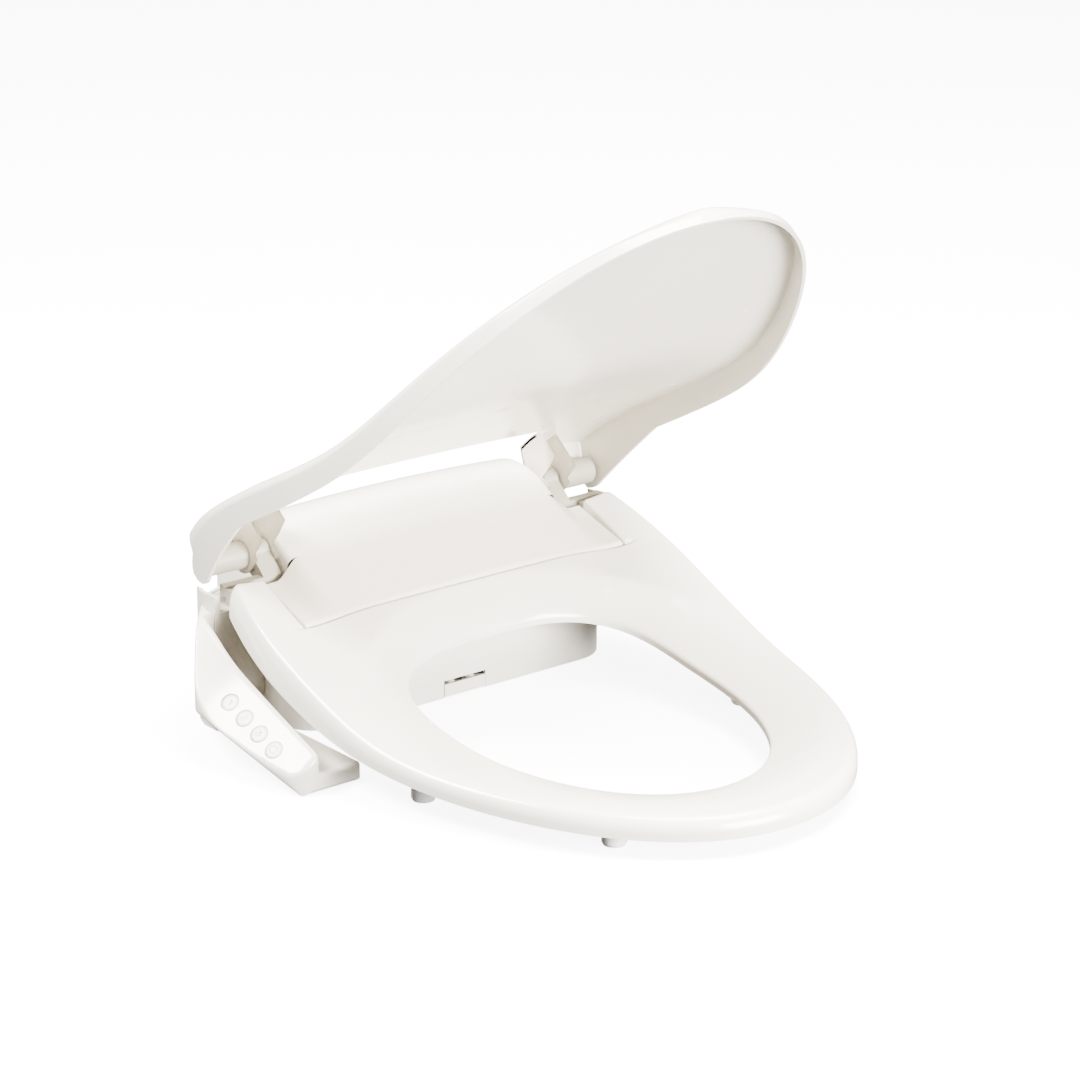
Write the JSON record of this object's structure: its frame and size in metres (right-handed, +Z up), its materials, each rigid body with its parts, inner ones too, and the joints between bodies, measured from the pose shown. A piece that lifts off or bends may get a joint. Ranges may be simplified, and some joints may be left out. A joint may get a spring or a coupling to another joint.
{
  "type": "electric bidet seat",
  "caption": "Electric bidet toilet seat with a heated seat ring, a domed lid held half open, a raised rear housing, a side control arm with push buttons and a sliding nozzle.",
  "frame": {"origin": "on the underside of the base, midway between the two bowl bolts", "axes": "+Z up, the front of the seat towards -Y, the control arm on the -X side"},
  "size_m": [0.434, 0.5298, 0.4263],
  "materials": {
    "shell": "gloss",
    "satin_white": "satin",
    "inner": "satin",
    "film": "matte",
    "button": "satin",
    "stop_button": "satin",
    "rubber": "matte",
    "steel": "brushed",
    "board": "satin",
    "dark": "matte",
    "heater_film": "satin",
    "copper": "satin",
    "hose": "satin"
  },
  "bodies": {
    "base": {"base_tray": "satin_white", "rear_cover": "shell", "mounting_bracket": "steel", "bracket_pad": "rubber", "cover_screws": "steel", "hinge_pins": "steel", "seat_damper": "dark", "lid_damper": "dark", "arm_cover": "shell", "arm_floor": "satin_white", "panel_film": "film", "button_board": "board", "button_switches": "dark", "arm_screws": "steel", "nozzle_guide": "inner", "nozzle_motor": "steel", "heater_tank": "inner", "heater_element": "copper", "tank_cap": "inner", "water_valve": "inner", "valve_coil": "copper", "water_inlet": "satin_white", "inlet_filter": "dark", "inlet_washer": "rubber", "supply_hose": "hose", "nozzle_hose": "hose", "main_board": "board", "board_parts": "dark", "power_relay": "dark", "cord_gland": "dark"},
    "seat": {"seat_top": "shell", "seat_bottom": "satin_white", "seat_heater": "heater_film", "seat_bumpers": "rubber", "seat_hinge_arms": "inner"},
    "lid": {"lid_shell": "shell", "lid_hinge_barrels": "inner"},
    "nozzle": {"nozzle_tubes": "satin_white", "nozzle_carriage": "inner", "nozzle_shield": "satin_white", "nozzle_seal": "rubber"},
    "dry_key": {"dry_button": "button"},
    "rear_wash_key": {"rear_wash_button": "button"},
    "front_wash_key": {"front_wash_button": "button"},
    "stop_key": {"stop_button": "stop_button"}
  },
  "joints": [
    {"name": "lid_hinge", "type": "hinge", "parent": "base", "child": "lid", "pos_m": [0, -0.02, 0.1225], "axis": [-1, 0, 0], "range_deg": [-51.5, 52]},
    {"name": "seat_hinge", "type": "hinge", "parent": "base", "child": "seat", "pos_m": [0, -0.02, 0.1225], "axis": [-1, 0, 0], "range_deg": [0, 45]},
    {"name": "nozzle_slide", "type": "slide", "parent": "base", "child": "nozzle", "axis": [0, -0.9397, -0.342], "range_m": [0, 0.055]},
    {"name": "dry_press", "type": "slide", "parent": "base", "child": "dry_key", "axis": [0.6293, 0.2696, -0.7289], "range_m": [0, 0.0012], "stiffness_N_per_m": 150},
    {"name": "rear_wash_press", "type": "slide", "parent": "base", "child": "rear_wash_key", "axis": [0.6293, 0.2696, -0.7289], "range_m": [0, 0.0012], "stiffness_N_per_m": 150},
    {"name": "front_wash_press", "type": "slide", "parent": "base", "child": "front_wash_key", "axis": [0.6293, 0.2696, -0.7289], "range_m": [0, 0.0012], "stiffness_N_per_m": 150},
    {"name": "stop_press", "type": "slide", "parent": "base", "child": "stop_key", "axis": [0.6293, 0.2696, -0.7289], "range_m": [0, 0.0012], "stiffness_N_per_m": 150}
  ]
}
